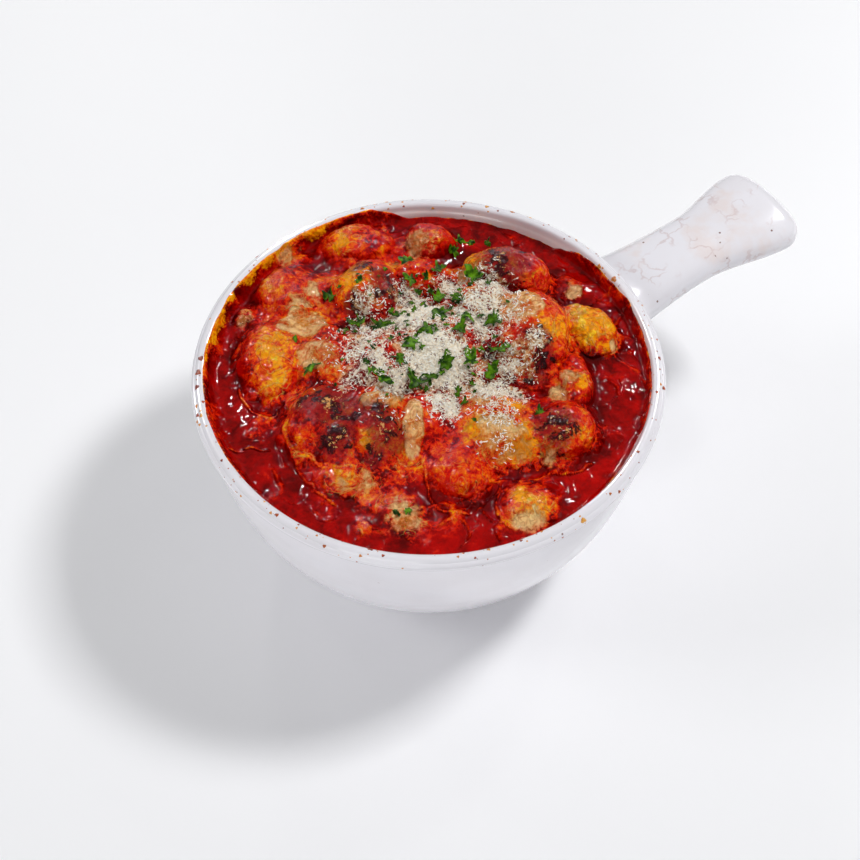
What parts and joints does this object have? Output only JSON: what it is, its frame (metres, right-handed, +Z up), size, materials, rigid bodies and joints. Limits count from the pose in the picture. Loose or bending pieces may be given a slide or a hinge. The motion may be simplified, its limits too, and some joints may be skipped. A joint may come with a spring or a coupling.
{
  "type": "baked potato gnocchi in a handled bowl",
  "caption": "Round glazed bowl with a stick handle, filled with baked potato gnocchi in tomato sauce under melted and grated cheese and parsley.",
  "frame": {"origin": "centre of the bowl's flat foot, on the bowl's axis", "axes": "+Z up along the bowl's axis, +X from the axis along the handle, towards its tail"},
  "size_m": [0.1995, 0.136, 0.0752],
  "materials": {
    "bowl_glaze": "cool white gloss glaze with faint brown crackle stains and specks of baked sauce",
    "tomato_sauce": "wet, thick, deep red",
    "baked_gnocchi": "moist dough with red sauce, golden and charred patches",
    "melted_cheese": "melted cheese, beige to golden, slightly oily"
  },
  "bodies": {
    "root": {"bowl": "bowl_glaze", "gnocco_back": "baked_gnocchi", "gnocco_back_heap": "baked_gnocchi", "gnocco_back_heap_small": "baked_gnocchi", "gnocco_back_left": "baked_gnocchi", "gnocco_back_left_sunk": "baked_gnocchi", "gnocco_back_right": "baked_gnocchi", "gnocco_centre": "baked_gnocchi", "gnocco_centre_left": "baked_gnocchi", "gnocco_centre_right": "baked_gnocchi", "gnocco_front": "baked_gnocchi", "gnocco_front_centre": "baked_gnocchi", "gnocco_front_left_cheesy": "baked_gnocchi", "gnocco_front_red": "baked_gnocchi", "gnocco_front_right": "baked_gnocchi", "gnocco_front_right_charred": "baked_gnocchi", "gnocco_left_back": "baked_gnocchi", "gnocco_left_charred": "baked_gnocchi", "gnocco_left_front_charred": "baked_gnocchi", "gnocco_left_front_low": "baked_gnocchi", "gnocco_left_front_sunk": "baked_gnocchi", "gnocco_left_large": "baked_gnocchi", "gnocco_left_mid": "baked_gnocchi", "gnocco_left_sunk": "baked_gnocchi", "gnocco_right_front_small": "baked_gnocchi", "gnocco_right_golden": "baked_gnocchi", "gnocco_right_heap": "baked_gnocchi", "gnocco_right_sunk": "baked_gnocchi", "mozzarella_front_right": "melted_cheese", "mozzarella_front_strip": "melted_cheese", "mozzarella_left": "melted_cheese", "mozzarella_left_low": "melted_cheese", "mozzarella_mid": "melted_cheese", "mozzarella_right": "melted_cheese", "tomato_sauce": "tomato_sauce"}
  },
  "joints": []
}
